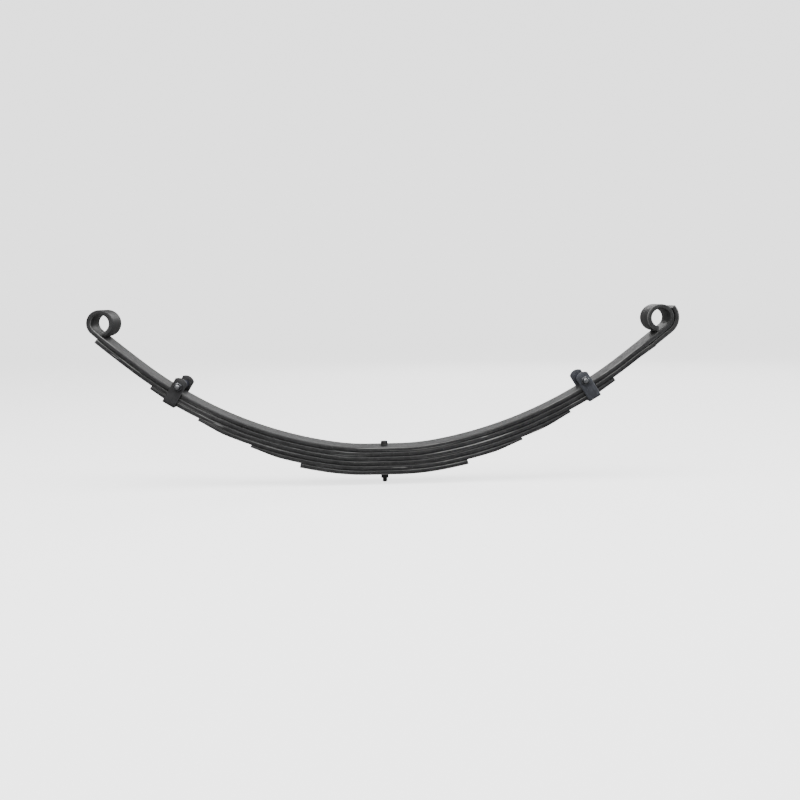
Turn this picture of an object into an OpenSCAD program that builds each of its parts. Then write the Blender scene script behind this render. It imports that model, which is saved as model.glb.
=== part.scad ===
// Six-leaf semi-elliptic suspension spring with upturned eyes, bolted
// rebound clips and a centre bolt.
// X runs along the spring, Y across the leaves, Z up. The origin is where
// the centre bolt's axis meets the main leaf's top face, on the axle seat.
// Units: millimetres.

/* [Leaves] */
// Width of every leaf
leaf_width = 63.5; // [50:0.5:76]
// Thickness of every leaf
leaf_thickness = 8.8; // [7:0.1:11]
// Paint and air between two leaves
leaf_gap = 0.2; // [0.1:0.05:0.5]
// Half length of the flat axle seat
seat_half = 28; // [20:1:40]
// Bend radius next to the seat
inner_radius = 450; // [400:1:560]
// Arc length from the centre to the end of the inner bend
inner_end = 102; // [85:1:130]
// Bend radius of the left arm
left_radius = 799; // [650:1:1100]
// Bend radius of the right arm
right_radius = 837; // [650:1:1100]
// Arc length from the centre to where the arms straighten
outer_end = 510; // [490:1:530]
// Bend radius of the last stretch before the left eye
left_end_radius = 2500; // [1500:100:9000]
// Bend radius of the last stretch before the right eye
right_end_radius = 5000; // [1500:100:9000]

/* [Leaf lengths] */
// Arc length from the centre to the foot of the left eye
main_left = 616.5; // [560:0.1:680]
// Arc length from the centre to the foot of the right eye
main_right = 607.2; // [565:0.1:680]
// Second leaf, plain end short of the left eye by
second_short = 14.5; // [8:1:30]
// Third leaf, half length
third_half = 466.5; // [445:1:500]
// Fourth leaf, centre to left tip
fourth_left = 360; // [310:0.5:390]
// Fourth leaf, centre to right tip
fourth_right = 364.5; // [310:0.5:390]
// Fifth leaf, centre to left tip
fifth_left = 251; // [210:0.5:300]
// Fifth leaf, centre to right tip
fifth_right = 262; // [210:0.5:300]
// Sixth leaf, centre to left tip
sixth_left = 154; // [110:0.5:200]
// Sixth leaf, centre to right tip
sixth_right = 153.5; // [110:0.5:200]
// Length of the thinned tips
taper_length = 60; // [30:1:80]
// Tip thickness of the third leaf, as a share of the leaf
third_tip = 0.78; // [0.5:0.01:1]
// Tip thickness of the fourth and fifth leaves, as a share of the leaf
lower_tip = 0.53; // [0.4:0.01:1]

/* [Eyes] */
// Bore of both eyes
eye_bore = 34.8; // [30:0.1:42]
// Gap between the rolled tip and the leaf it lands on
eye_tip_gap = 0.3; // [0.2:0.1:1]
// Gap between the right eye and the second leaf's wrap
wrap_gap = 1; // [0.6:0.1:2]
// Angle above level at which the wrap ends
wrap_end = 41; // [20:1:60]
// Arc length at which the second leaf starts to leave the main leaf
lift_start = 532; // [520:1:540]
// Arc length at which it stands furthest off
lift_peak = 564; // [555:1:568]
// Arc length at which it is back at the wrap's gap
lift_end = 571; // [570:1:580]
// Gap between the two where it stands furthest off
lift_gap = 2.1; // [1:0.1:2.5]

/* [Centre bolt] */
// Bolt shank diameter
bolt_d = 9.5; // [8:0.1:12]
// Locating head diameter
head_d = 13.2; // [12.5:0.1:18]
// Locating head height
head_h = 8.8; // [6:0.1:12]
// Radial room of the bolt in the leaves
bolt_room = 0.2; // [0.15:0.05:0.5]
// Nut size across its flats
nut_af = 14.3; // [14:0.1:19]
// Nut height
nut_h = 10.5; // [8:0.1:12]
// Thread left standing below the nut
stud_out = 8; // [4:0.5:12]

/* [Rebound clips] */
// Arc length from the centre to the left clip
left_clip_at = 422; // [395:1:428]
// Arc length from the centre to the right clip
right_clip_at = 416.5; // [395:0.5:428]
// Strap width along the spring
strap_width = 25.4; // [20:0.1:30]
// Strap thickness
strap_t = 4.8; // [4:0.1:6]
// Radius of the arc that ends each ear, about the bolt's axis
ear_radius = 17; // [15:0.5:20]
// Room between the strap and each leaf edge
strap_room = 1; // [0.8:0.1:2]
// Height of the clip bolt above the main leaf
clip_bolt_up = 9.8; // [9.5:0.1:12]
// Clip bolt diameter
clip_bolt_d = 9.5; // [8:0.1:10]
// Outside diameter of the spacer tube
sleeve_d = 15; // [13:0.1:16]
// Clip nut and bolt head size across the flats
clip_nut_af = 14.3; // [14:0.1:17]
// Rivet shank diameter
rivet_d = 8; // [6:0.5:9]

/* [Hidden] */
pitch = leaf_thickness + leaf_gap;     // one leaf to the next
eye_ri = eye_bore / 2;
eye_ro = eye_ri + leaf_thickness;
pack = 6 * leaf_thickness + 5 * leaf_gap;
nut_room = 0.05;       // radial, between a bolt and its nut or ring
strap_hole_room = 0.4; // radial, round the clip bolt in the strap
sleeve_bore_room = 0.3; // radial, round the clip bolt in the spacer tube
sleeve_end_room = 0.1; // between the spacer tube and each ear
rivet_room = 0.15;     // radial
rivet_head_r = 7;
rivet_dome = 3.6;      // height of the rivet's head
corner_cut = 0.9;      // chamfer on a hexagon's corners
face_in = 0.3;         // the face's circle inside the flats
bolt_point = 1.6;      // radial taper of the centre bolt's end
bolt_point_h = 2.2;
head_cut = 1.2;        // chamfer of the locating head
clip_head_h = 6.2;
clip_bolt_out = 2.6;   // beyond its nut
clip_bolt_cut = 1.3;   // radial chamfer of its end
clip_bolt_cut_h = 1.4;
lock_hex = 8.2;        // height of the lock nut's hexagon
lock_all = 11;         // with its collar
collar_d = 12.9;
ring_seat_d = 11.4;    // bore of the collar
ring_seat_up = 0.2;    // floor of the collar's bore above the hexagon
ring_d = 11.3;
ring_h = 2.2;
ring_lift = 0.05;      // between the ring and that floor
through = 20;          // long enough to cut right through
step = 12;                             // spacing of stations along an arm
slack = 0.05;                          // between touching faces
lap = -0.03;                           // each curl stands this far over its bar
strap_in = leaf_width / 2 + strap_room;
strap_out = strap_in + strap_t;
clip_floor = 3 * leaf_thickness + 2 * leaf_gap + 0.15;
left_arm = [[seat_half, 0], [inner_end - seat_half, inner_radius],
  [outer_end - inner_end, left_radius], [900, left_end_radius]];
right_arm = [[seat_half, 0], [inner_end - seat_half, inner_radius],
  [outer_end - inner_end, right_radius], [900, right_end_radius]];
steel = [0.15, 0.155, 0.165];
zinc = [0.72, 0.73, 0.75];
dark_zinc = [0.30, 0.32, 0.38];
nylon = [0.12, 0.13, 0.2];

// Main leaf's top face at arc length s: distance out, height and slope.
function walk(arm, s, x = 0, z = 0, a = 0, i = 0) =
  let (l = arm[i][0], r = arm[i][1], d = min(s, l),
       b = a + (r == 0 ? 0 : d / r * 180 / PI),
       nx = r == 0 ? x + d * cos(a) : x + r * (sin(b) - sin(a)),
       nz = r == 0 ? z + d * sin(a) : z + r * (cos(a) - cos(b)))
  s <= l ? [nx, nz, b] : walk(arm, s - l, nx, nz, b, i + 1);
function at(side, s) = walk(side < 0 ? left_arm : right_arm, s);
// A point that lies "down" millimetres under the top face.
function under(side, s, down) = let (p = at(side, s))
  [side * (p[0] + down * sin(p[2])), p[1] - down * cos(p[2])];
lift_marks = [lift_start, lift_peak, lift_end];
function stations(end, marks = []) = len(marks) == 0
  ? concat([for (s = [seat_half:step:end - 1]) s], [end])
  : concat([for (s = [seat_half:step:marks[0] - 1]) s], marks,
      [for (s = [marks[2] + step:step:end - 1]) s], [end]);
function thinned(s, end, share) = leaf_thickness *
  (share + (1 - share) * min(1, (end - s) / taper_length));
// Extra depth of the second leaf where it leaves the main leaf.
function joggle(k, side, s) = k != 2 || side < 0 ? 0 : lookup(s,
  [[lift_start, 0], [lift_peak, lift_gap - leaf_gap], [lift_end, wrap_gap - leaf_gap]]);
function dir(a) = [cos(a), sin(a)];

module across(w = leaf_width) {
  rotate([90, 0, 0]) linear_extrude(height = w, center = true) children();
}
// Puts its children on the main leaf's top face at arc length s.
module on_leaf(side, s) {
  p = at(side, s);
  translate([side * p[0], 0, p[1]]) rotate([0, -side * p[2], 0]) children();
}
// Curved bar of leaf number k between two arc lengths.
module bar(k, left, right, share = 1) {
  top = (k - 1) * pitch;
  ls = stations(left);
  rs = stations(right, k == 2 ? lift_marks : []);
  nl = len(ls) - 1;
  nr = len(rs) - 1;
  difference() {
    across() polygon(concat(
      [for (i = [nl:-1:0]) under(-1, ls[i], top)],
      [for (i = [0:nr]) under(1, rs[i], top + joggle(k, 1, rs[i]))],
      [for (i = [nr:-1:0]) under(1, rs[i],
        top + joggle(k, 1, rs[i]) + thinned(rs[i], right, share))],
      [for (i = [0:nl]) under(-1, ls[i], top + thinned(ls[i], left, share))]));
    translate([0, 0, -pack - 5])
      cylinder(d = bolt_d + 2 * bolt_room, h = pack + 10, $fn = 48);
  }
}
// Ring from r1 to r2 about an eye, from its foot through "turn" degrees.
module curl(side, s, r1, r2, turn) {
  p = at(side, s);
  c = under(side, s, lap - eye_ri);
  foot = p[2] - 90;
  far = 4 * r2;
  translate([c[0], 0, c[1]]) mirror([side < 0 ? 1 : 0, 0, 0])
    across() rotate(foot) difference() {
      circle(r = r2, $fn = 96);
      circle(r = r1, $fn = 96);
      if (turn > 180)
        polygon([[0, 0], far * dir(turn), far * dir((turn + 360) / 2), [far, 0]]);
      else
        polygon(concat([[0, 0]], [for (i = [0:4])
          far * dir(turn + (360 - turn) * i / 4)]));
    }
}
// Key that ties a curl's foot to the bar, inside both.
module tie(side, s, down, t) {
  on_leaf(side, s) translate([-1, -leaf_width / 2 + 2, -down - t + 2])
    cube([2, leaf_width - 4, t - 4]);
}
eye_turn = 360 - acos(eye_ri / eye_ro) - eye_tip_gap / eye_ro * 180 / PI;

module main_leaf() color(steel) union() {
  bar(1, main_left, main_right);
  curl(-1, main_left, eye_ri, eye_ro, eye_turn);
  curl(1, main_right, eye_ri, eye_ro, eye_turn);
  tie(-1, main_left, 0, leaf_thickness);
  tie(1, main_right, 0, leaf_thickness);
}
module second_leaf() color(steel) union() {
  r1 = eye_ro + wrap_gap;
  bar(2, main_left - second_short, main_right);
  curl(1, main_right, r1, r1 + leaf_thickness,
    wrap_end + 90 - at(1, main_right)[2]);
  tie(1, main_right, leaf_thickness + wrap_gap, leaf_thickness);
}
module third_leaf() color(steel) difference() {
  bar(3, third_half, third_half, third_tip);
  for (p = [[-1, left_clip_at], [1, right_clip_at]])
    on_leaf(p[0], p[1]) translate([0, 0, -clip_floor - 5])
      cylinder(d = rivet_d + 2 * rivet_room, h = through, $fn = 36);
}
module fourth_leaf() color(steel) bar(4, fourth_left, fourth_right, lower_tip);
module fifth_leaf() color(steel) bar(5, fifth_left, fifth_right, lower_tip);
module sixth_leaf() color(steel) bar(6, sixth_left, sixth_right);

module centre_bolt() color(steel) rotate_extrude($fn = 64) {
  r = bolt_d / 2;
  low = -pack - nut_h - stud_out;
  polygon([[0, low], [r - bolt_point, low], [r, low + bolt_point_h], [r, slack],
    [head_d / 2, slack], [head_d / 2, head_h - head_cut],
    [head_d / 2 - head_cut, head_h], [0, head_h]]);
}
// Hexagon with its corners chamfered at the faces chosen.
module hex(af, h, bottom, top) {
  r = af / sqrt(3);
  face = af / 2 - face_in;
  intersection() {
    cylinder(r = r, h = h, $fn = 6);
    rotate_extrude($fn = 48) polygon([[0, 0],
      [bottom ? face : r + 1, 0], [r + 1, bottom ? corner_cut : 0],
      [r + 1, top ? h - corner_cut : h], [top ? face : r + 1, h], [0, h]]);
  }
}
module centre_nut() color(steel) difference() {
  translate([0, 0, -pack - slack - nut_h]) rotate(30) hex(nut_af, nut_h, true, true);
  translate([0, 0, -pack - nut_h - 5])
    cylinder(d = bolt_d + 2 * nut_room, h = nut_h + 10, $fn = 48);
}

// The strap's section across the leaves: a square-cornered U.
module u_section() {
  lo = -clip_floor - strap_t;
  hi = clip_bolt_up + 30;
  ri = 1;
  ro = ri + strap_t;
  function bend(y, z, r, a0, a1) = [for (i = [0:6])
    [y + r * cos(a0 + (a1 - a0) * i / 6), z + r * sin(a0 + (a1 - a0) * i / 6)]];
  polygon(concat([[-strap_out, hi]],
    bend(-strap_out + ro, lo + ro, ro, 180, 270),
    bend(strap_out - ro, lo + ro, ro, 270, 360),
    [[strap_out, hi], [strap_in, hi]],
    bend(strap_in - ri, -clip_floor + ri, ri, 360, 270),
    bend(-strap_in + ri, -clip_floor + ri, ri, 270, 180),
    [[-strap_in, hi]]));
}
module clip(side, s) color(steel) on_leaf(side, s) {
  w = strap_width / 2;
  ear_r = max(ear_radius, w + 0.5);
  ear_from = acos(w / ear_r);
  difference() {
    intersection() {
      rotate([90, 0, 90]) linear_extrude(height = strap_width, center = true)
        u_section();
      across(2 * strap_out + 10) polygon(concat(
        [[-w, -clip_floor - 20], [w, -clip_floor - 20]],
        [for (i = [0:16]) let (a = ear_from + i * (180 - 2 * ear_from) / 16)
          [0, clip_bolt_up] + ear_r * dir(a)]));
    }
    translate([0, 0, clip_bolt_up]) rotate([90, 0, 0])
      cylinder(d = clip_bolt_d + 2 * strap_hole_room, h = 3 * strap_out, center = true,
        $fn = 48);
    translate([0, 0, -clip_floor - 10]) cylinder(d = rivet_d + 2 * rivet_room, h = through, $fn = 36);
  }
}
module rivet(side, s) color(steel) on_leaf(side, s) {
  ball = (rivet_head_r * rivet_head_r + rivet_dome * rivet_dome) / (2 * rivet_dome);
  under_strap = -clip_floor - strap_t - slack;
  union() {
    translate([0, 0, under_strap - 0.5])
      cylinder(d = rivet_d, h = strap_t + leaf_thickness + 0.5, $fn = 36);
    intersection() {
      translate([0, 0, under_strap + ball - rivet_dome]) sphere(r = ball, $fn = 64);
      translate([0, 0, under_strap - 10]) cylinder(r = rivet_head_r + 2, h = 10, $fn = 36);
    }
  }
}
// Lies along -Y from y = "from" on the clip bolt's axis.
module on_clip_axis(side, s, from) {
  on_leaf(side, s) translate([0, from, clip_bolt_up]) rotate([90, 0, 0]) children();
}
module clip_bolt(side, s) color(zinc) on_clip_axis(side, s, strap_out + slack) {
  r = clip_bolt_d / 2;
  end = 2 * strap_out + lock_all + clip_bolt_out;
  union() {
    translate([0, 0, -clip_head_h]) hex(clip_nut_af, clip_head_h, true, false);
    rotate_extrude($fn = 64) polygon([[0, -1], [r, -1], [r, end - clip_bolt_cut_h],
      [r - clip_bolt_cut, end], [0, end]]);
  }
}
module clip_nut(side, s) color(zinc) on_clip_axis(side, s, -strap_out - slack)
  difference() {
    union() {
      hex(clip_nut_af, lock_hex, true, true);
      cylinder(d = collar_d, h = lock_all, $fn = 48);
    }
    translate([0, 0, -1]) cylinder(d = clip_bolt_d + 2 * nut_room, h = through, $fn = 48);
    translate([0, 0, lock_hex + ring_seat_up])
      cylinder(d = ring_seat_d, h = through, $fn = 48);
  }
module clip_nut_ring(side, s) color(nylon) on_clip_axis(side, s, -strap_out - slack)
  translate([0, 0, lock_hex + ring_seat_up + ring_lift]) difference() {
    cylinder(d = ring_d, h = ring_h, $fn = 48);
    translate([0, 0, -1])
      cylinder(d = clip_bolt_d + 2 * nut_room, h = ring_h + 2, $fn = 48);
  }
module clip_sleeve(side, s) color(dark_zinc) on_clip_axis(side, s, strap_in - sleeve_end_room)
  difference() {
    cylinder(d = sleeve_d, h = 2 * (strap_in - sleeve_end_room), $fn = 64);
    translate([0, 0, -1])
      cylinder(d = clip_bolt_d + 2 * sleeve_bore_room, h = 2 * strap_in + 2, $fn = 48);
  }

main_leaf();
second_leaf();
third_leaf();
fourth_leaf();
fifth_leaf();
sixth_leaf();
centre_bolt();
centre_nut();
clip(-1, left_clip_at);  // left_clip
rivet(-1, left_clip_at);  // left_clip_rivet
clip_bolt(-1, left_clip_at);  // left_clip_bolt
clip_nut(-1, left_clip_at);  // left_clip_nut
clip_nut_ring(-1, left_clip_at);  // left_clip_nut_ring
clip_sleeve(-1, left_clip_at);  // left_clip_sleeve
clip(1, right_clip_at);  // right_clip
rivet(1, right_clip_at);  // right_clip_rivet
clip_bolt(1, right_clip_at);  // right_clip_bolt
clip_nut(1, right_clip_at);  // right_clip_nut
clip_nut_ring(1, right_clip_at);  // right_clip_nut_ring
clip_sleeve(1, right_clip_at);  // right_clip_sleeve
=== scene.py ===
import math

import bmesh
import bpy
from mathutils import Matrix, Vector


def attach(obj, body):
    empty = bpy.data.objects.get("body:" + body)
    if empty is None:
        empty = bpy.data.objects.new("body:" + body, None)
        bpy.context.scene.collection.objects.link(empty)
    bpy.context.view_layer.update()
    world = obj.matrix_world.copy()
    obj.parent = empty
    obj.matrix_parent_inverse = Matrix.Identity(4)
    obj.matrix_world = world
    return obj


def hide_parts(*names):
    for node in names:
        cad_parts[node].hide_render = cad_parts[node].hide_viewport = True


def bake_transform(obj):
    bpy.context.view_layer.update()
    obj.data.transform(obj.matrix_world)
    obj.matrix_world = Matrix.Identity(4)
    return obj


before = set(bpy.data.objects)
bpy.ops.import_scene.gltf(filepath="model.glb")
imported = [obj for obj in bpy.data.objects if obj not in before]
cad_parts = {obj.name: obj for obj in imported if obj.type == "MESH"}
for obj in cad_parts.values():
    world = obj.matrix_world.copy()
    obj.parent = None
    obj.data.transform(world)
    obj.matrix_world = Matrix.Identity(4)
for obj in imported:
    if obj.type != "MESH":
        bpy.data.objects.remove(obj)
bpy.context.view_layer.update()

MM = 0.001

# ---- Sizes of the spring, in metres, as in the CAD source ----
LEAF_WIDTH = 63.5 * MM
LEAF_THICKNESS = 8.8 * MM
LEAF_GAP = 0.2 * MM
PITCH = LEAF_THICKNESS + LEAF_GAP
PACK = 6 * LEAF_THICKNESS + 5 * LEAF_GAP
SEAT_HALF = 28 * MM
INNER_END, INNER_RADIUS = 102 * MM, 450 * MM
OUTER_END = 510 * MM
ARM_RADIUS = {-1: 799 * MM, 1: 837 * MM}
END_RADIUS = {-1: 2500 * MM, 1: 5000 * MM}
FOOT = {-1: 616.5 * MM, 1: 607.2 * MM}      # arc length from the centre to each eye's foot
SECOND_SHORT = 14.5 * MM
LEAF_REACH = {(3, -1): 466.5 * MM, (3, 1): 466.5 * MM, (4, -1): 360 * MM, (4, 1): 364.5 * MM,
              (5, -1): 251 * MM, (5, 1): 262 * MM, (6, -1): 154 * MM, (6, 1): 153.5 * MM}
TIP_SHARE = {3: 0.78, 4: 0.53, 5: 0.53, 6: 1.0}
TAPER_LENGTH = 60 * MM
WRAP_GAP = 1.0 * MM
# the second leaf lifts off, stands furthest off, and steps back to its wrap's gap
LIFT = ((532 * MM, 0.2 * MM), (564 * MM, 2.1 * MM), (571 * MM, WRAP_GAP))
WRAP_END = math.radians(41)
EYE_RI = 17.4 * MM
EYE_RO = EYE_RI + LEAF_THICKNESS
EYE_LIFT = 0.03 * MM
TIP_GAP = 0.3 * MM
CURL_TRIM = 0.08 * MM                       # keeps the finer curls inside the CAD box
EDGE_RADIUS = 2.0 * MM                      # rolled edge of the bars
CLIP_AT = {-1: 422 * MM, 1: 416.5 * MM}
STRAP_WIDTH = 25.4 * MM
STRAP_THICK = 4.8 * MM
STRAP_EDGE = 1.1 * MM                       # rolled edge of the straps
EAR_RADIUS = 17 * MM                        # the arc that ends each ear, about the bolt's axis
STRAP_IN = LEAF_WIDTH / 2 + 1 * MM
STRAP_OUT = STRAP_IN + STRAP_THICK
CLIP_FLOOR = 3 * LEAF_THICKNESS + 2 * LEAF_GAP + 0.15 * MM
BOLT_UP = 9.8 * MM
SLACK = 0.05 * MM
THREAD_PITCH = 25.4 / 16 * MM
BOLT_RADIUS = 4.75 * MM
FLATS = 14.3 * MM                           # across the flats of each nut and hexagon head
CORNERS = FLATS / math.sqrt(3) + 0.05 * MM  # just outside the hexagon's corners
HEX_BEVEL = 0.9 * MM                        # height of the chamfer at a hexagon's face
FLAT_INSET = 0.3 * MM                       # the chamfer starts this far inside the flats
NUT_LEAD_IN = 0.7 * MM                      # countersink at each end of a nut's bore

LEAF_NAMES = {1: "main_leaf", 2: "second_leaf", 3: "third_leaf",
              4: "fourth_leaf", 5: "fifth_leaf", 6: "sixth_leaf"}
SIDE_NAMES = {-1: "left", 1: "right"}


# ---------------------------------------------------------------- leaf paths
def on_main_leaf(side, s):
    """Main leaf's top face at arc length s: distance out, height, slope."""
    spans = [(SEAT_HALF, None), (INNER_END - SEAT_HALF, INNER_RADIUS),
             (OUTER_END - INNER_END, ARM_RADIUS[side]), (1.0, END_RADIUS[side])]
    x = z = slope = 0.0
    for length, radius in spans:
        d = min(s, length)
        if radius is None:
            x, z = x + d * math.cos(slope), z + d * math.sin(slope)
        else:
            turned = slope + d / radius
            x += radius * (math.sin(turned) - math.sin(slope))
            z += radius * (math.cos(slope) - math.cos(turned))
            slope = turned
        s -= d
        if s <= 1e-9:
            break
    return x, z, slope


def bar_point(side, s, down):
    """A point "down" under the main leaf's top face, with the downward normal there."""
    x, z, slope = on_main_leaf(side, s)
    normal = Vector((side * math.sin(slope), 0, -math.cos(slope)))
    return Vector((side * x, 0, z)) + down * normal, normal


def smooth(t):
    t = min(1.0, max(0.0, t))
    return t * t * (3 - 2 * t)


def lift_off(s):
    """How much further than usual the second leaf stands off the main leaf, near its wrap."""
    (s0, g0), (s1, g1), (s2, g2) = LIFT
    if s < s1:
        gap = g0 + (g1 - g0) * max(0.0, (s - s0) / (s1 - s0))
    else:
        gap = g1 + (g2 - g1) * smooth((s - s1) / (s2 - s1))
    return gap - LEAF_GAP


class Path:
    """Stations of a swept bar: each has a point, directions, widths and a place along it."""

    def __init__(self):
        self.rows = []

    def add(self, point, down, side, half_width, depth, along, inset=0.0):
        self.rows.append((Vector(point), Vector(down), Vector(side), half_width, depth,
                          along, inset))

    def soften_ends(self, reach, first=True, last=True):
        """Bevels the cut ends: one more station just inside each end, and the end drawn in."""
        rows = self.rows
        if last:
            p, d, s, w, t, a, _ = rows[-1]
            q = rows[-2][0]
            back = (q - p).normalized()
            rows[-1:] = [(p + reach * back, d, s, w, t, a - reach, 0.0),
                         (p + 0.3 * reach * back, d, s, w, t, a - 0.3 * reach, 0.3 * reach),
                         (p, d, s, w, t, a, reach)]
        if first:
            p, d, s, w, t, a, _ = rows[0]
            q = rows[1][0]
            back = (q - p).normalized()
            rows[:1] = [(p, d, s, w, t, a, reach),
                        (p + 0.3 * reach * back, d, s, w, t, a + 0.3 * reach, 0.3 * reach),
                        (p + reach * back, d, s, w, t, a + reach, 0.0)]


def leaf_path(k, side):
    """Half of leaf number k, from the centre bolt outwards, round its eye or wrap if it has one."""
    path = Path()
    across = (0, 1, 0)
    half = LEAF_WIDTH / 2
    top = (k - 1) * PITCH
    grain = 3.7 * k                         # so that no two leaves carry the same marks
    if k == 1:
        end = FOOT[side]
    elif k == 2:
        end = FOOT[1] if side > 0 else FOOT[-1] - SECOND_SHORT
    else:
        end = LEAF_REACH[k, side]
    count = math.ceil(end / (6 * MM))
    places = [end * i / count for i in range(count + 1)]
    lifted = k == 2 and side > 0
    if lifted:
        places = [s for s in places if s < LIFT[1][0] - 5 * MM or s > LIFT[2][0] + 5 * MM]
        places += [LIFT[1][0] - 2 * MM, LIFT[1][0], LIFT[1][0] + 1.6 * MM, LIFT[2][0] - 1.6 * MM,
                   LIFT[2][0], LIFT[2][0] + 2 * MM]
        places.sort()
    for s in places:
        extra = lift_off(s) if lifted else 0.0
        share = TIP_SHARE.get(k, 1.0)
        depth = LEAF_THICKNESS * (share + (1 - share) * smooth((end - s) / TAPER_LENGTH))
        point, normal = bar_point(side, s, top + extra)
        path.add(point, normal, across, half, depth, grain + side * s)
    rolled = k == 1 or (k == 2 and side > 0)
    if rolled:
        slope = on_main_leaf(side, end)[2]
        centre, _ = bar_point(side, end, -EYE_RI - EYE_LIFT)
        radius = EYE_RI if k == 1 else EYE_RO + WRAP_GAP
        if k == 1:
            turn = math.tau - math.acos(EYE_RI / EYE_RO) - TIP_GAP / EYE_RO
        else:
            turn = WRAP_END + math.pi / 2 - slope
        steps = math.ceil(turn / math.radians(5))
        path.rows.pop()
        for i in range(steps + 1):
            a = slope - math.pi / 2 + turn * i / steps
            out = Vector((side * math.cos(a), 0, math.sin(a)))
            path.add(centre + radius * out, out, across, half, LEAF_THICKNESS - CURL_TRIM,
                     grain + side * (end + radius * turn * i / steps))
    path.soften_ends(0.7 * MM, first=False)
    return path


def clip_matrix(side):
    """The clip's own frame: X along the leaf, Y across it, Z out of its top face."""
    x, z, slope = on_main_leaf(side, CLIP_AT[side])
    return Matrix.Translation((side * x, 0, z)) @ Matrix.Rotation(-side * slope, 4, "Y")


def strap_path(side):
    """Inside face of the clip's U, from one ear's round top to the other's."""
    path = Path()
    along = (1, 0, 0)
    half = STRAP_WIDTH / 2
    corner = 1 * MM
    low = -CLIP_FLOOR
    ear = []
    shoulder = math.acos(half / EAR_RADIUS)
    for i in range(13):
        a = math.radians(87) + (shoulder - math.radians(87)) * i / 12
        ear.append((BOLT_UP + EAR_RADIUS * math.sin(a), EAR_RADIUS * math.cos(a)))
    top = ear[-1][0]
    ear.append((top - 0.6 * MM, half))
    for i in range(1, 6):
        ear.append((top + (low + corner - top) * i / 6, half))
    run = 2.0 + 1.3 * side
    for z, w in ear:
        path.add((0, -STRAP_IN, z), (0, -1, 0), along, w, STRAP_THICK, run + BOLT_UP - z)
    for i in range(7):
        a = math.radians(180 + 15 * i)
        out = Vector((0, math.cos(a), math.sin(a)))
        point = Vector((0, -STRAP_IN + corner, low + corner)) + corner * out
        path.add(point, out, along, half, STRAP_THICK, run + 0.04 + i * 0.0008)
    for i in range(1, 8):
        y = (STRAP_IN - corner) * (i / 4 - 1)
        path.add((0, y, low), (0, 0, -1), along, half, STRAP_THICK, run + 0.045 + 0.0079 * i)
    for i in range(7):
        a = math.radians(270 + 15 * i)
        out = Vector((0, math.cos(a), math.sin(a)))
        point = Vector((0, STRAP_IN - corner, low + corner)) + corner * out
        path.add(point, out, along, half, STRAP_THICK, run + 0.11 + i * 0.0008)
    for z, w in reversed(ear):
        path.add((0, STRAP_IN, z), (0, 1, 0), along, w, STRAP_THICK, run + 0.15 + z)
    return path


# ------------------------------------------------------- Geometry Nodes trees
def new_tree(name, sizes):
    """An empty tree with a geometry in and out, its sizes, and a finish."""
    tree = bpy.data.node_groups.new(name, "GeometryNodeTree")
    tree.interface.new_socket("Geometry", in_out="INPUT", socket_type="NodeSocketGeometry")
    for label, (kind, value) in sizes.items():
        socket = tree.interface.new_socket(label, in_out="INPUT", socket_type=kind)
        if value is not None:
            socket.default_value = value
    tree.interface.new_socket("Finish", in_out="INPUT", socket_type="NodeSocketMaterial")
    tree.interface.new_socket("Geometry", in_out="OUTPUT", socket_type="NodeSocketGeometry")
    return tree, tree.nodes.new("NodeGroupInput"), tree.nodes.new("NodeGroupOutput")


def add_node(tree, kind, inputs, **settings):
    """Adds a node, sets its options, and links or fills the inputs given by name or number."""
    node = tree.nodes.new(kind)
    for key, value in settings.items():
        setattr(node, key, value)
    for key, value in inputs.items():
        socket = node.inputs[key]
        if isinstance(value, bpy.types.NodeSocket):
            tree.links.new(value, socket)
        else:
            socket.default_value = value
    return node


def maths(tree, operation, *values):
    node = tree.nodes.new("ShaderNodeMath")
    node.operation = operation
    for socket, value in zip(node.inputs, values):
        if isinstance(value, bpy.types.NodeSocket):
            tree.links.new(value, socket)
        else:
            socket.default_value = value
    return node.outputs[0]


def named(tree, name, kind="FLOAT"):
    node = tree.nodes.new("GeometryNodeInputNamedAttribute")
    node.data_type = kind
    node.inputs["Name"].default_value = name
    return node.outputs["Attribute"]


def stored(tree, geometry, name, value, kind="FLOAT"):
    node = tree.nodes.new("GeometryNodeStoreNamedAttribute")
    node.data_type = kind
    node.domain = "POINT"
    node.inputs["Name"].default_value = name
    tree.links.new(geometry, node.inputs["Geometry"])
    tree.links.new(value, node.inputs["Value"])
    return node.outputs["Geometry"]


def scaled(tree, vector, factor):
    node = tree.nodes.new("ShaderNodeVectorMath")
    node.operation = "SCALE"
    tree.links.new(vector, node.inputs[0])
    tree.links.new(factor, node.inputs["Scale"])
    return node.outputs["Vector"]


def summed(tree, a, b):
    node = tree.nodes.new("ShaderNodeVectorMath")
    node.operation = "ADD"
    tree.links.new(a, node.inputs[0])
    tree.links.new(b, node.inputs[1])
    return node.outputs["Vector"]


def close_tree(tree, geometry, source, sink):
    real = add_node(tree, "GeometryNodeRealizeInstances", {"Geometry": geometry})
    dressed = add_node(tree, "GeometryNodeSetMaterial",
                       {"Geometry": real.outputs[0], "Material": source.outputs["Finish"]})
    tree.links.new(dressed.outputs[0], sink.inputs["Geometry"])
    return tree


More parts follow.
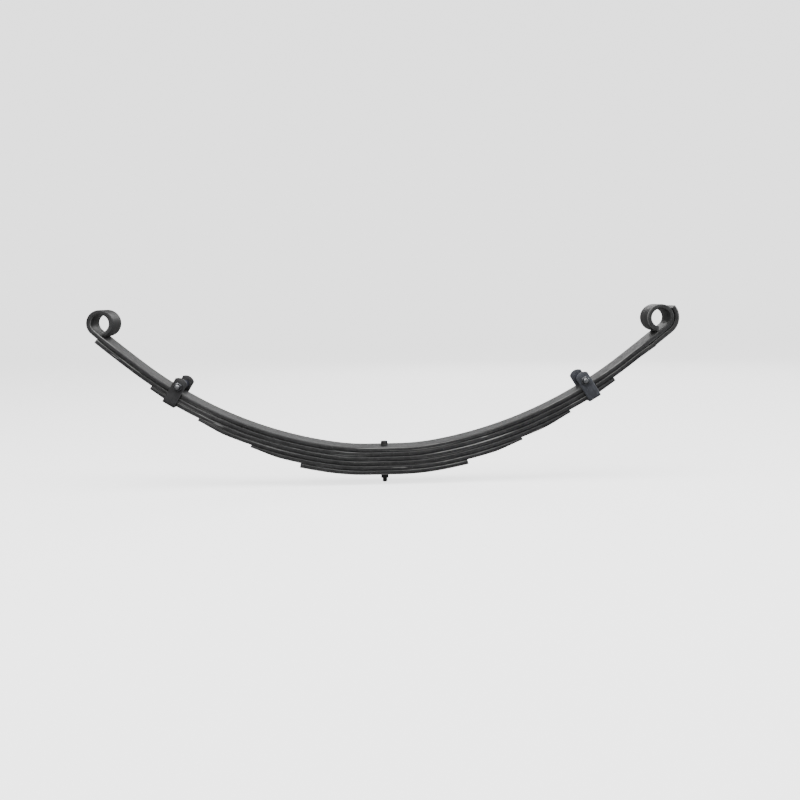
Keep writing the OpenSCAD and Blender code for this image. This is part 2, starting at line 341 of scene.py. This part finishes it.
def bar_tree():
    """Sweeps a flat bar with rolled edges along the stations it is given."""
    tree, source, sink = new_tree("Rolled bar", {
        "Width": ("NodeSocketFloat", LEAF_WIDTH),
        "Thickness": ("NodeSocketFloat", LEAF_THICKNESS),
        "Edge radius": ("NodeSocketFloat", EDGE_RADIUS),
        "Edge steps": ("NodeSocketInt", 5)})
    width, thickness = source.outputs["Width"], source.outputs["Thickness"]
    where = tree.nodes.new("GeometryNodeInputPosition").outputs[0]
    path = stored(tree, source.outputs["Geometry"], "path_point", where, "FLOAT_VECTOR")
    rail = add_node(tree, "GeometryNodeMeshToCurve", {"Mesh": path}).outputs[0]
    outline = add_node(tree, "GeometryNodeCurvePrimitiveQuadrilateral",
                       {"Width": width, "Height": thickness}).outputs[0]
    fillet = add_node(tree, "GeometryNodeFilletCurve",
                      {"Curve": outline, "Radius": source.outputs["Edge radius"],
                       "Count": source.outputs["Edge steps"]}, mode="POLY").outputs[0]
    place = add_node(tree, "ShaderNodeSeparateXYZ", {0: where})
    across = maths(tree, "DIVIDE", place.outputs["X"], maths(tree, "MULTIPLY", width, 0.5))
    down = maths(tree, "SUBTRACT", 0.5, maths(tree, "DIVIDE", place.outputs["Y"], thickness))
    profile = stored(tree, stored(tree, fillet, "across", across), "down", down)
    swept = add_node(tree, "GeometryNodeCurveToMesh",
                     {"Curve": rail, "Profile Curve": profile, "Fill Caps": True}).outputs[0]
    inset = named(tree, "inset")
    reach = maths(tree, "MULTIPLY", named(tree, "across"),
                  maths(tree, "SUBTRACT", named(tree, "half_width"), inset))
    room = maths(tree, "SUBTRACT", named(tree, "depth"), maths(tree, "MULTIPLY", inset, 2.0))
    drop = maths(tree, "ADD", inset, maths(tree, "MULTIPLY", named(tree, "down"), room))
    spot = summed(tree, named(tree, "path_point", "FLOAT_VECTOR"), summed(
        tree, scaled(tree, named(tree, "side_dir", "FLOAT_VECTOR"), reach),
        scaled(tree, named(tree, "down_dir", "FLOAT_VECTOR"), drop)))
    moved = add_node(tree, "GeometryNodeSetPosition", {"Geometry": swept, "Position": spot})
    return close_tree(tree, moved.outputs[0], source, sink)


def turned_tree():
    """Turns a half outline about Z, with flats where it is hexagonal and a thread where it is cut."""
    tree, source, sink = new_tree("Turned piece", {
        "Segments": ("NodeSocketInt", 72),
        "Across flats": ("NodeSocketFloat", FLATS),
        "Thread pitch": ("NodeSocketFloat", THREAD_PITCH),
        "Thread depth": ("NodeSocketFloat", 0.75 * MM)})
    outline = add_node(tree, "GeometryNodeMeshToCurve",
                       {"Mesh": source.outputs["Geometry"]}).outputs[0]
    circle = add_node(tree, "GeometryNodeCurvePrimitiveCircle",
                      {"Resolution": source.outputs["Segments"], "Radius": 0.01}).outputs[0]
    index = tree.nodes.new("GeometryNodeInputIndex").outputs[0]
    turn = maths(tree, "MULTIPLY", maths(tree, "DIVIDE", index, source.outputs["Segments"]),
                 math.tau)
    rail = stored(tree, circle, "turn", turn)
    swept = add_node(tree, "GeometryNodeCurveToMesh",
                     {"Curve": rail, "Profile Curve": outline, "Fill Caps": False}).outputs[0]
    angle, radius, height = named(tree, "turn"), named(tree, "lathe_r"), named(tree, "lathe_z")
    sixth = maths(tree, "SUBTRACT", maths(tree, "FLOORED_MODULO", angle, math.pi / 3),
                  math.pi / 6)
    flat = maths(tree, "DIVIDE", maths(tree, "MULTIPLY", source.outputs["Across flats"], 0.5),
                 maths(tree, "COSINE", sixth))
    hexed = maths(tree, "MINIMUM", radius, flat)
    mixed = maths(tree, "ADD", radius, maths(
        tree, "MULTIPLY", named(tree, "hexed"), maths(tree, "SUBTRACT", hexed, radius)))
    lead = maths(tree, "SUBTRACT", maths(tree, "DIVIDE", height, source.outputs["Thread pitch"]),
                 maths(tree, "DIVIDE", angle, math.tau))
    vee = maths(tree, "PINGPONG", maths(tree, "MULTIPLY", lead, 2.0), 1.0)
    cut = maths(tree, "MULTIPLY", maths(tree, "MULTIPLY", vee, named(tree, "threaded")),
                source.outputs["Thread depth"])
    final = maths(tree, "SUBTRACT", mixed, cut)
    spot = add_node(tree, "ShaderNodeCombineXYZ", {
        "X": maths(tree, "MULTIPLY", final, maths(tree, "COSINE", angle)),
        "Y": maths(tree, "MULTIPLY", final, maths(tree, "SINE", angle)), "Z": height})
    moved = add_node(tree, "GeometryNodeSetPosition",
                     {"Geometry": swept, "Position": spot.outputs[0]})
    joined = add_node(tree, "GeometryNodeMergeByDistance",
                      {"Geometry": moved.outputs[0], "Distance": 0.002 * MM})
    return close_tree(tree, joined.outputs[0], source, sink)


BAR = bar_tree()
TURNED = turned_tree()
SHARP_ANGLE = math.radians(32)
WELD_DISTANCE = 0.0005 * MM


def grown(name, mesh, tree, sizes, finish, matrix=None):
    """Runs a tree on the mesh and keeps the result as a plain closed piece."""
    seed = bpy.data.objects.new(name + "_seed", mesh)
    bpy.context.scene.collection.objects.link(seed)
    modifier = seed.modifiers.new("shape", "NODES")
    modifier.node_group = tree
    for item in tree.interface.items_tree:
        if item.item_type == "SOCKET" and item.in_out == "INPUT" and item.name in sizes:
            modifier[item.identifier] = sizes[item.name]
        if item.item_type == "SOCKET" and item.in_out == "INPUT" and item.name == "Finish":
            modifier[item.identifier] = finish
    seed.update_tag()
    graph = bpy.context.evaluated_depsgraph_get()
    made = bpy.data.meshes.new_from_object(seed.evaluated_get(graph), preserve_all_data_layers=True,
                                           depsgraph=graph)
    seed.modifiers.remove(modifier)
    bpy.data.objects.remove(seed)
    if matrix is not None:
        made.transform(matrix)
    shell = bmesh.new()
    shell.from_mesh(made)
    bmesh.ops.remove_doubles(shell, verts=shell.verts, dist=WELD_DISTANCE)
    bmesh.ops.recalc_face_normals(shell, faces=shell.faces)
    open_edges = sum(len(e.link_faces) != 2 for e in shell.edges)
    if open_edges:
        print(name, "has", open_edges, "open edges")
    shell.to_mesh(made)
    shell.free()
    for spare in ("path_point", "side_dir", "down_dir", "half_width", "depth", "inset",
                  "turn", "lathe_z", "hexed", "threaded"):
        if spare in made.attributes:
            made.attributes.remove(made.attributes[spare])
    made.polygons.foreach_set("use_smooth", [True] * len(made.polygons))
    made.set_sharp_from_angle(angle=SHARP_ANGLE)
    piece = bpy.data.objects.new(name, made)
    bpy.context.scene.collection.objects.link(piece)
    if not made.materials:
        made.materials.append(finish)
    return piece


def swept_bar(name, path, finish, matrix=None, width=LEAF_WIDTH, thick=LEAF_THICKNESS,
              edge=EDGE_RADIUS):
    rows = path.rows
    mesh = bpy.data.meshes.new(name)
    mesh.from_pydata([r[0] for r in rows], [(i, i + 1) for i in range(len(rows) - 1)], [])
    for label, column, kind in (("down_dir", 1, "FLOAT_VECTOR"), ("side_dir", 2, "FLOAT_VECTOR"),
                                ("half_width", 3, "FLOAT"), ("depth", 4, "FLOAT"),
                                ("along", 5, "FLOAT"), ("inset", 6, "FLOAT")):
        layer = mesh.attributes.new(label, kind, "POINT")
        for i, row in enumerate(rows):
            if kind == "FLOAT":
                layer.data[i].value = row[column]
            else:
                layer.data[i].vector = row[column]
    sizes = {"Width": width, "Thickness": thick, "Edge radius": edge}
    return grown(name, mesh, BAR, sizes, finish, matrix)


def turned(name, outline, finish, matrix, closed=False, segments=72):
    """outline: rows of (radius, height, hexagonal, threaded), in metres."""
    mesh = bpy.data.meshes.new(name)
    links = [(i, i + 1) for i in range(len(outline) - 1)]
    if closed:
        links.append((len(outline) - 1, 0))
    mesh.from_pydata([(r[0], 0, r[1]) for r in outline], links, [])
    for column, label in enumerate(("lathe_r", "lathe_z", "hexed", "threaded")):
        layer = mesh.attributes.new(label, "FLOAT", "POINT")
        layer.data.foreach_set("value", [float(r[column]) for r in outline])
    sizes = {"Segments": segments, "Across flats": FLATS}
    return grown(name, mesh, TURNED, sizes, finish, matrix)


# ------------------------------------------------------------------ materials
class Finish:
    """A procedural material, built from a few named steps."""

    def __init__(self, name):
        self.material = bpy.data.materials.new(name)
        self.material.use_nodes = True
        self.tree = self.material.node_tree
        self.tree.nodes.clear()
        self.out = self.tree.nodes.new("ShaderNodeOutputMaterial")
        self.shader = self.tree.nodes.new("ShaderNodeBsdfPrincipled")
        self.tree.links.new(self.shader.outputs[0], self.out.inputs["Surface"])
        self.place = self.tree.nodes.new("ShaderNodeTexCoord").outputs["Object"]

    def link(self, value, socket):
        if isinstance(value, bpy.types.NodeSocket):
            self.tree.links.new(value, socket)
        else:
            socket.default_value = value

    def noise(self, scale, detail=4, rough=0.55, vector=None, distortion=0.0):
        node = add_node(self.tree, "ShaderNodeTexNoise",
                        {"Scale": scale, "Detail": detail, "Roughness": rough,
                         "Distortion": distortion, "Vector": vector or self.place})
        return node.outputs["Fac"]

    def stretched(self, x, y, z, vector=None):
        node = add_node(self.tree, "ShaderNodeMapping",
                        {"Vector": vector or self.place, "Scale": (x, y, z)})
        return node.outputs[0]

    def attribute(self, name):
        node = self.tree.nodes.new("ShaderNodeAttribute")
        node.attribute_name = name
        return node.outputs["Fac"]

    def ramp(self, value, low, high, a=0.0, b=1.0, kind="SMOOTHSTEP"):
        node = self.tree.nodes.new("ShaderNodeMapRange")
        node.interpolation_type = kind
        for key, number in (("Value", value), ("From Min", low), ("From Max", high),
                            ("To Min", a), ("To Max", b)):
            self.link(number, node.inputs[key])
        return node.outputs["Result"]

    def maths(self, operation, *values):
        return maths(self.tree, operation, *values)

    def mix(self, factor, a, b):
        node = self.tree.nodes.new("ShaderNodeMix")
        node.data_type = "RGBA"
        self.link(factor, node.inputs["Factor"])
        for key, colour in ((6, a), (7, b)):
            self.link(colour if isinstance(colour, bpy.types.NodeSocket)
                      else (*colour, 1.0), node.inputs[key])
        return node.outputs[2]

    def bump(self, height, strength, distance, below=None):
        inputs = {"Height": height, "Strength": strength, "Distance": distance}
        if below is not None:
            inputs["Normal"] = below
        return add_node(self.tree, "ShaderNodeBump", inputs).outputs[0]

    def finish(self, colour, roughness, metallic=0.0, normal=None, **constants):
        self.link(colour, self.shader.inputs["Base Color"])
        self.link(roughness, self.shader.inputs["Roughness"])
        self.link(metallic, self.shader.inputs["Metallic"])
        if normal is not None:
            self.link(normal, self.shader.inputs["Normal"])
        for key, value in constants.items():
            self.shader.inputs[key.replace("_", " ")].default_value = value
        return self.material


GRAIN_WIDTH = 0.0318                        # half a leaf's width, as the streaks see it


def black_paint(name, dark, light, dust_scuff_glint_colour, scuff_and_glint_amount, streaks=True):
    """Satin black paint over rolled steel: mottled, dusty, pitted, scuffed along its edges, with
    painted glints on the edges' corners.
    """
    f = Finish(name)
    if streaks:
        lane = add_node(f.tree, "ShaderNodeCombineXYZ", {
            "X": f.attribute("along"), "Y": f.maths("MULTIPLY", f.attribute("across"), GRAIN_WIDTH),
            "Z": f.maths("MULTIPLY", f.attribute("down"), LEAF_THICKNESS)}).outputs[0]
        flow = f.stretched(7, 140, 420, lane)
        streak = f.noise(1.0, 5, 0.6, flow)
        scratch = f.noise(1.0, 3, 0.5, f.stretched(22, 900, 1900, lane))
        rub = f.noise(1.0, 3, 0.5, f.stretched(16, 60, 190, lane))
    else:
        streak = f.noise(90, 5, 0.6)
        scratch = f.noise(420, 3, 0.5)
        rub = f.noise(150, 3, 0.5)
    cloud = f.noise(16, 5, 0.6)
    mottle = f.noise(120, 6, 0.65)
    grit = f.noise(900, 3, 0.6)
    fleck = f.ramp(f.noise(620, 2, 0.5), 0.66, 0.74)
    tone = f.maths("ADD", f.maths("MULTIPLY", cloud, 0.35), f.maths("ADD", f.maths(
        "MULTIPLY", mottle, 0.4), f.maths("MULTIPLY", streak, 0.25)))
    base = f.mix(f.ramp(tone, 0.36, 0.64), dark, light)
    dusty = f.mix(f.maths("MULTIPLY", fleck, 0.35), base, dust_scuff_glint_colour)
    # lighter side faces and corners: partly scuffs, partly painted glints standing for highlights on
    # the rolled edges
    edge_a = f.ramp(f.maths("ABSOLUTE", f.attribute("across")), 0.90, 0.985)
    middle = f.maths("ABSOLUTE", f.maths("SUBTRACT", f.attribute("down"), 0.5))
    edge_b = f.ramp(middle, 0.16, 0.40)
    corner = f.maths("MULTIPLY", edge_a, edge_b)
    patchy = f.ramp(streak, 0.54, 0.68)
    worn_and_glinting_edges = f.maths("MAXIMUM", f.maths("MULTIPLY", corner, patchy),
                   f.maths("MULTIPLY", edge_a, f.ramp(rub, 0.66, 0.76, 0.0, 0.8)))
    line = f.maths("MULTIPLY", f.ramp(scratch, 0.63, 0.74), 0.55)
    wear_and_glint = f.maths("MULTIPLY", f.maths("MAXIMUM", worn_and_glinting_edges, f.maths("MULTIPLY", line, patchy)),
                   scuff_and_glint_amount)
    colour = f.mix(wear_and_glint, dusty, dust_scuff_glint_colour)
    roughness = f.maths("ADD", f.ramp(mottle, 0.3, 0.7, 0.40, 0.58),
                        f.maths("MULTIPLY", wear_and_glint, -0.10))
    fine = f.bump(grit, 0.35, 0.00025)
    normal = f.bump(mottle, 0.30, 0.0012, fine)
    return f.finish(colour, roughness, 0.0, normal, Specular_IOR_Level=0.5)


def bright_zinc(name, tint, rough_low, rough_high, collar=None):
    """Bright zinc plate, dulled in patches; with painted shade darkening it inside the radius
    "collar", if given.
    """
    f = Finish(name)
    patch = f.noise(260, 5, 0.6)
    fine = f.noise(2600, 3, 0.6)
    dark = tuple(c * 0.72 for c in tint)
    colour = f.mix(f.ramp(patch, 0.35, 0.65), dark, tint)
    if collar is not None:
        # painted shade: the colour goes dark inside this radius, for the shade the nut's collar
        # throws round the bolt end and lock ring
        inside = f.ramp(f.attribute("lathe_r"), collar, collar + 0.2 * MM)
        colour = f.mix(inside, (0.030, 0.030, 0.034), colour)
    rough = f.ramp(patch, 0.35, 0.7, rough_low, rough_high)
    normal = f.bump(fine, 0.18, 0.00012)
    return f.finish(colour, rough, 0.9, normal)


def dark_nylon():
    f = Finish("Dark nylon lock ring")
    patch = f.noise(300, 4, 0.6)
    colour = f.mix(f.ramp(patch, 0.35, 0.65), (0.012, 0.014, 0.022), (0.03, 0.032, 0.045))
    return f.finish(colour, f.ramp(patch, 0.3, 0.7, 0.42, 0.6), 0.0,
                    f.bump(f.noise(2200, 2), 0.2, 0.0001))


def blued_tube():
    f = Finish("Dark blue-grey tube")
    patch = f.noise(70, 5, 0.6)
    line = f.noise(1.0, 3, 0.5, f.stretched(900, 40, 900))
    tone = f.maths("ADD", f.maths("MULTIPLY", patch, 0.7), f.maths("MULTIPLY", line, 0.3))
    colour = f.mix(f.ramp(tone, 0.38, 0.62), (0.020, 0.022, 0.034), (0.050, 0.054, 0.080))
    return f.finish(colour, f.ramp(tone, 0.3, 0.7, 0.34, 0.5), 0.35,
                    f.bump(line, 0.25, 0.0002))


FLOOR_GLOW = 2.0


def stage_paper():
    f = Finish("Pale studio floor")
    soft = f.noise(0.6, 3)
    colour = f.mix(f.ramp(soft, 0.3, 0.7), (0.90, 0.90, 0.90), (0.93, 0.93, 0.93))
    material = f.finish(colour, f.ramp(soft, 0.3, 0.7, 0.85, 0.92), 0.0)
    f.shader.inputs["Emission Color"].default_value = (1, 1, 1, 1)
    f.shader.inputs["Emission Strength"].default_value = FLOOR_GLOW
    return material


LEAF_PAINT = black_paint("Satin black leaf paint", (0.008, 0.008, 0.0083),
                         (0.034, 0.034, 0.0345), (0.30, 0.30, 0.295), 0.9)
# Two copies of the clip paint: the right clip's copy is painted lighter and bluer, a painted light
# standing for the bluish lamp on the right side.
CLIP_PAINT = {-1: black_paint("Satin black clip paint", (0.016, 0.016, 0.017),
                              (0.040, 0.040, 0.042), (0.22, 0.22, 0.22), 0.8),
              1: black_paint("Satin black clip paint with painted bluish light", (0.034, 0.036, 0.043),
                             (0.074, 0.079, 0.094), (0.34, 0.35, 0.38), 0.8)}
BOLT_PAINT = black_paint("Satin black bolt paint", (0.015, 0.015, 0.015),
                         (0.034, 0.034, 0.033), (0.20, 0.20, 0.195), 0.8, streaks=False)
RIVET_PAINT = black_paint("Satin black rivet paint", (0.018, 0.019, 0.022),
                          (0.040, 0.043, 0.050), (0.24, 0.25, 0.27), 0.8, streaks=False)
PAINTED_NUT_SHADE_RADIUS = 6.5 * MM                       # painted shade darkens the nut inside this radius
ZINC = bright_zinc("Bright zinc plate", (0.34, 0.345, 0.36), 0.24, 0.42)
NUT_ZINC_WITH_PAINTED_SHADE = bright_zinc("Dulled zinc plate with painted collar shade", (0.27, 0.275, 0.29), 0.24, 0.42,
                       PAINTED_NUT_SHADE_RADIUS)
NYLON = dark_nylon()
TUBE = blued_tube()


# --------------------------------------------------------------------- leaves
def make_leaves():
    for k, leaf in LEAF_NAMES.items():
        for side in (-1, 1):
            piece = swept_bar(f"{leaf}_{SIDE_NAMES[side]}_arm", leaf_path(k, side), LEAF_PAINT)
            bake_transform(piece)
            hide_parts(leaf)


# ------------------------------------------------------------------ fasteners
def hex_corner(height, upward=True, steps=6):
    """Rows of the chamfer cone at a hexagon's face, from inside its flats to past its corners."""
    inner = FLATS / 2 - FLAT_INSET
    rows = []
    for i in range(steps + 1):
        t = i / steps
        z = height + (HEX_BEVEL * t if upward else -HEX_BEVEL * t)
        rows.append((inner + (CORNERS - inner) * t, z, 1, 0))
    return rows


def hexagon(height):
    """Rows of a plain hexagon standing on height 0, chamfered at both faces."""
    return hex_corner(0) + [(CORNERS, height / 2, 1, 0)] + hex_corner(height, upward=False)[::-1]


def thread_rows(radius, z0, z1, per_pitch=8):
    """Threaded shank between two heights; the thread runs out smoothly at both ends."""
    count = max(4, round(abs(z1 - z0) / THREAD_PITCH * per_pitch))
    rows = []
    for i in range(count + 1):
        t = i / count
        fade = min(1.0, t * count / per_pitch, (1 - t) * count / per_pitch)
        rows.append((radius, z0 + (z1 - z0) * t, 0, fade))
    return rows


def rounded(r0, z0, r1, z1, steps):
    """Points of a rounded corner from (r0, z0) to (r1, z1), bulging outwards."""
    rows = []
    corner = (max(r0, r1), z0 if r0 < r1 else z1)
    for i in range(steps + 1):
        t = i / steps
        a, b, c = (1 - t) ** 2, 2 * t * (1 - t), t * t
        rows.append((a * r0 + b * corner[0] + c * r1, a * z0 + b * corner[1] + c * z1, 0, 0))
    return rows


CENTRE_NUT_HEIGHT = 10.5 * MM


def centre_bolt():
    r, head_r, head_h = BOLT_RADIUS, 6.6 * MM, 8.8 * MM
    low = -PACK - CENTRE_NUT_HEIGHT - 8 * MM
    rows = [(0, low, 0, 0), (r - 1.9 * MM, low, 0, 0), (r - 1.3 * MM, low + 0.3 * MM, 0, 0),
            (r, low + 1.9 * MM, 0, 0)]
    rows += thread_rows(r, low + 1.9 * MM, -PACK + 6 * MM)
    rows += [(r, -1 * MM, 0, 0), (r, SLACK, 0, 0), (head_r - 0.5 * MM, SLACK, 0, 0),
             (head_r, SLACK + 0.5 * MM, 0, 0)]
    rows += [(head_r, 3 * MM, 0, 0), (head_r, 5 * MM, 0, 0)]
    rows += rounded(head_r, head_h - 1.4 * MM, head_r - 1.3 * MM, head_h, 5)
    rows += [(head_r - 3 * MM, head_h - 0.02 * MM, 0, 0), (0, head_h, 0, 0)]
    piece = turned("centre_bolt_detail", rows, BOLT_PAINT, Matrix.Identity(4))
    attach(piece, "axle_seat_pack")
    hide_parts("centre_bolt")


def centre_nut():
    h, bore = CENTRE_NUT_HEIGHT, 4.8 * MM
    wide = bore + NUT_LEAD_IN
    rows = hexagon(h)
    rows += [(wide, h, 0, 0), (bore, h - NUT_LEAD_IN, 0, 0), (bore, NUT_LEAD_IN, 0, 0),
             (wide, 0, 0, 0)]
    matrix = (Matrix.Translation((0, 0, -PACK - SLACK - h))
              @ Matrix.Rotation(math.radians(30), 4, "Z"))
    piece = turned("centre_nut_detail", rows, BOLT_PAINT, matrix, closed=True)
    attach(piece, "axle_seat_pack")
    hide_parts("centre_nut")


# ---------------------------------------------------------------- rebound clips
def clip_axis(side, start):
    """Frame on the clip bolt's axis, running towards -Y from y = start."""
    return (clip_matrix(side) @ Matrix.Translation((0, start, BOLT_UP))
            @ Matrix.Rotation(math.radians(90), 4, "X"))


def clip_pieces(side):
    name = SIDE_NAMES[side]
    made = []
    strap = swept_bar(f"{name}_clip_strap", strap_path(side), CLIP_PAINT[side], clip_matrix(side),
                      STRAP_WIDTH, STRAP_THICK, STRAP_EDGE)
    made.append((strap, "clip", "clip_steel"))

    head_r, dome, shank = 7 * MM, 3.6 * MM, 4 * MM
    ball = (head_r ** 2 + dome ** 2) / (2 * dome)
    under = -CLIP_FLOOR - STRAP_THICK - SLACK
    rows = []
    for i in range(10):
        a = math.asin(head_r / ball) * i / 9
        rows.append((ball * math.sin(a), under + ball - dome - ball * math.cos(a), 0, 0))
    rows += [(shank, under, 0, 0), (shank, -CLIP_FLOOR - 1 * MM, 0, 0),
             (shank, under + STRAP_THICK + 8.3 * MM, 0, 0),
             (shank - 0.5 * MM, under + STRAP_THICK + LEAF_THICKNESS, 0, 0),
             (0, under + STRAP_THICK + LEAF_THICKNESS, 0, 0)]
    rivet = turned(f"{name}_clip_rivet_detail", rows, RIVET_PAINT, clip_matrix(side),
                   segments=48)
    made.append((rivet, "clip_rivet", "clip_steel"))

    head_h, r, nut_h, past_nut = 6.2 * MM, BOLT_RADIUS, 11 * MM, 2.6 * MM
    end = 2 * STRAP_OUT + nut_h + past_nut
    rows = [(0, -head_h, 0, 0), (FLATS / 2 - 2 * MM, -head_h, 0, 0)]
    rows += hex_corner(-head_h)
    rows += [(CORNERS, -2.5 * MM, 1, 0), (CORNERS, -0.35 * MM, 1, 0),
             (FLATS / 2 - FLAT_INSET, -0.3 * MM, 0, 0), (FLATS / 2 - 0.4 * MM, 0, 0, 0),
             (r + 0.3 * MM, 0, 0, 0), (r, 0.3 * MM, 0, 0), (r, 30 * MM, 0, 0)]
    rows += thread_rows(r, end - 24 * MM, end - 1.2 * MM)
    rows += [(r - 1.0 * MM, end - 0.15 * MM, 0, 0), (r - 1.3 * MM, end, 0, 0), (0, end, 0, 0)]
    bolt = turned(f"{name}_clip_bolt_detail", rows, ZINC, clip_axis(side, STRAP_OUT + SLACK))
    made.append((bolt, "clip_bolt", "zinc"))

    hex_h, collar, bore = 8.2 * MM, 6.45 * MM, 4.85 * MM
    seat, pocket = hex_h + 0.25 * MM, 5.70 * MM         # where the nylon ring sits
    rows = hexagon(hex_h)
    rows += [(collar + 0.1 * MM, hex_h, 0, 0), (collar, hex_h + 0.15 * MM, 0, 0)]
    rows += rounded(collar, nut_h - 0.9 * MM, collar - 0.55 * MM, nut_h, 5)
    rows += [(pocket + 0.02 * MM, nut_h - 0.15 * MM, 0, 0), (pocket, seat, 0, 0),
             (bore, seat, 0, 0), (bore, NUT_LEAD_IN, 0, 0), (bore + NUT_LEAD_IN, 0, 0, 0)]
    nut = turned(f"{name}_clip_nut_detail", rows, NUT_ZINC_WITH_PAINTED_SHADE, clip_axis(side, -STRAP_OUT - SLACK),
                 closed=True)
    made.append((nut, "clip_nut", "zinc"))

    z0, ring_in, ring_out, ring_h = seat + 0.02 * MM, bore - 0.04 * MM, 5.62 * MM, 2.15 * MM
    rows = [(ring_in, z0, 0, 0), (ring_out, z0, 0, 0), (ring_out, z0 + 1.9 * MM, 0, 0),
            (5.4 * MM, z0 + ring_h, 0, 0), (5.1 * MM, z0 + ring_h, 0, 0),
            (ring_in, z0 + 1.8 * MM, 0, 0)]
    ring = turned(f"{name}_clip_nut_lock_ring", rows, NYLON, clip_axis(side, -STRAP_OUT - SLACK),
                  closed=True)
    made.append((ring, "clip_nut_ring", "nylon"))

    outer, inner, end_room, bevel, mouth = 7.5 * MM, 5.05 * MM, 0.1 * MM, 0.5 * MM, 0.4 * MM
    length = 2 * STRAP_IN - 2 * end_room
    rows = [(outer - bevel, 0, 0, 0), (outer, bevel, 0, 0), (outer, length / 2, 0, 0),
            (outer, length - bevel, 0, 0), (outer - bevel, length, 0, 0),
            (inner + mouth, length, 0, 0), (inner, length - mouth, 0, 0),
            (inner, mouth, 0, 0), (inner + mouth, 0, 0, 0)]
    sleeve = turned(f"{name}_clip_sleeve_detail", rows, TUBE,
                    clip_axis(side, STRAP_IN - end_room), closed=True)
    made.append((sleeve, "clip_sleeve", "tube"))

    for piece, node, slot in made:
        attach(piece, f"{name}_clip_set")
        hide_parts(f"{name}_{node}")


make_leaves()
centre_bolt()
centre_nut()
for clip_side in (-1, 1):
    clip_pieces(clip_side)


# ----------------------------------------------------------- stage and lights
def studio_floor():
    """A wide floor whose rim sweeps up all round, so no edge shows from any side."""
    floor_z, flat, sweep, top = -0.0735, 6.0, 2.5, 6.0
    outline = [(0.0, floor_z), (1.5, floor_z), (3.5, floor_z), (flat, floor_z)]
    for i in range(1, 13):
        a = math.pi / 2 * i / 12
        outline.append((flat + sweep * math.sin(a), floor_z + sweep * (1 - math.cos(a))))
    outline.append((flat + sweep, top))
    around = 96
    verts, faces = [(0, 0, floor_z)], []
    for r, z in outline[1:]:
        for j in range(around):
            a = math.tau * j / around
            verts.append((r * math.cos(a), r * math.sin(a), z))
    for j in range(around):
        faces.append((0, 1 + j, 1 + (j + 1) % around))
    for i in range(len(outline) - 2):
        for j in range(around):
            a, b = 1 + i * around + j, 1 + i * around + (j + 1) % around
            faces.append((a, a + around, b + around, b))
    mesh = bpy.data.meshes.new("studio_floor")
    mesh.from_pydata(verts, [], faces)
    mesh.polygons.foreach_set("use_smooth", [True] * len(mesh.polygons))
    mesh.materials.append(stage_paper())
    floor = bpy.data.objects.new("studio_floor", mesh)
    bpy.context.scene.collection.objects.link(floor)
    floor.visible_glossy = floor.visible_diffuse = floor.visible_shadow = False


def soft_box(name, place, target, size, power, colour):
    lamp = bpy.data.lights.new(name, "AREA")
    lamp.shape = "RECTANGLE"
    lamp.size, lamp.size_y = size
    lamp.energy = power
    lamp.color = colour
    box = bpy.data.objects.new(name, lamp)
    aim = Vector(target) - Vector(place)
    box.location = place
    box.rotation_euler = aim.to_track_quat("-Z", "Y").to_euler()
    bpy.context.scene.collection.objects.link(box)


AIR_STRENGTH = 0.26
SPRING_MIDDLE = (0, 0, 0.1)
# each soft box: name, place, what it faces, size in metres, power in watts, colour
SOFT_BOXES = (
    ("top_box", (0.0, -0.7, 2.6), SPRING_MIDDLE, (3.2, 2.0), 92, (1, 1, 1)),
    ("front_box", (-0.8, -3.0, 1.9), SPRING_MIDDLE, (2.0, 1.4), 62, (1, 1, 1)),
    ("right_box", (2.4, -1.2, 1.2), (0.3, 0, 0.1), (1.2, 1.2), 26, (0.93, 0.96, 1.0)),
    ("back_box", (0.9, 3.0, 1.7), SPRING_MIDDLE, (2.0, 1.4), 30, (1, 1, 1)))


def studio_light():
    world = bpy.data.worlds.new("Studio air")
    bpy.context.scene.world = world
    world.use_nodes = True
    world.node_tree.nodes["Background"].inputs["Color"].default_value = (1, 1, 1, 1)
    world.node_tree.nodes["Background"].inputs["Strength"].default_value = AIR_STRENGTH
    for box in SOFT_BOXES:
        soft_box(*box)


# --------------------------------------------------------------------- camera
SENSOR_MM = 36.0
LENS_MM = 46.5525
CAMERA_BACK = 1992.6 * MM                   # from the leaves' front edges
CAMERA_X, CAMERA_Z = 28.6 * MM, 284.6 * MM
PITCH_DOWN, YAW, ROLL = math.radians(5.522), math.radians(0.131), math.radians(-1.269)


def studio_camera():
    pitch, yaw, roll = PITCH_DOWN, YAW, ROLL
    ahead = Vector((math.cos(pitch) * math.sin(yaw), math.cos(pitch) * math.cos(yaw),
                    -math.sin(pitch)))
    right = Vector((math.cos(yaw), -math.sin(yaw), 0))
    up = Vector((math.sin(pitch) * math.sin(yaw), math.sin(pitch) * math.cos(yaw),
                 math.cos(pitch)))
    right, up = (math.cos(roll) * right + math.sin(roll) * up,
                 math.cos(roll) * up - math.sin(roll) * right)
    lens = bpy.data.cameras.new("studio_camera")
    lens.sensor_width = SENSOR_MM
    lens.lens = LENS_MM
    lens.clip_start, lens.clip_end = 0.05, 60
    camera = bpy.data.objects.new("studio_camera", lens)
    columns = Matrix((right, up, -ahead)).transposed().to_4x4()
    camera.matrix_world = (Matrix.Translation((CAMERA_X, -CAMERA_BACK - LEAF_WIDTH / 2, CAMERA_Z))
                           @ columns)
    bpy.context.scene.collection.objects.link(camera)
    bpy.context.scene.camera = camera


studio_floor()
studio_light()
studio_camera()
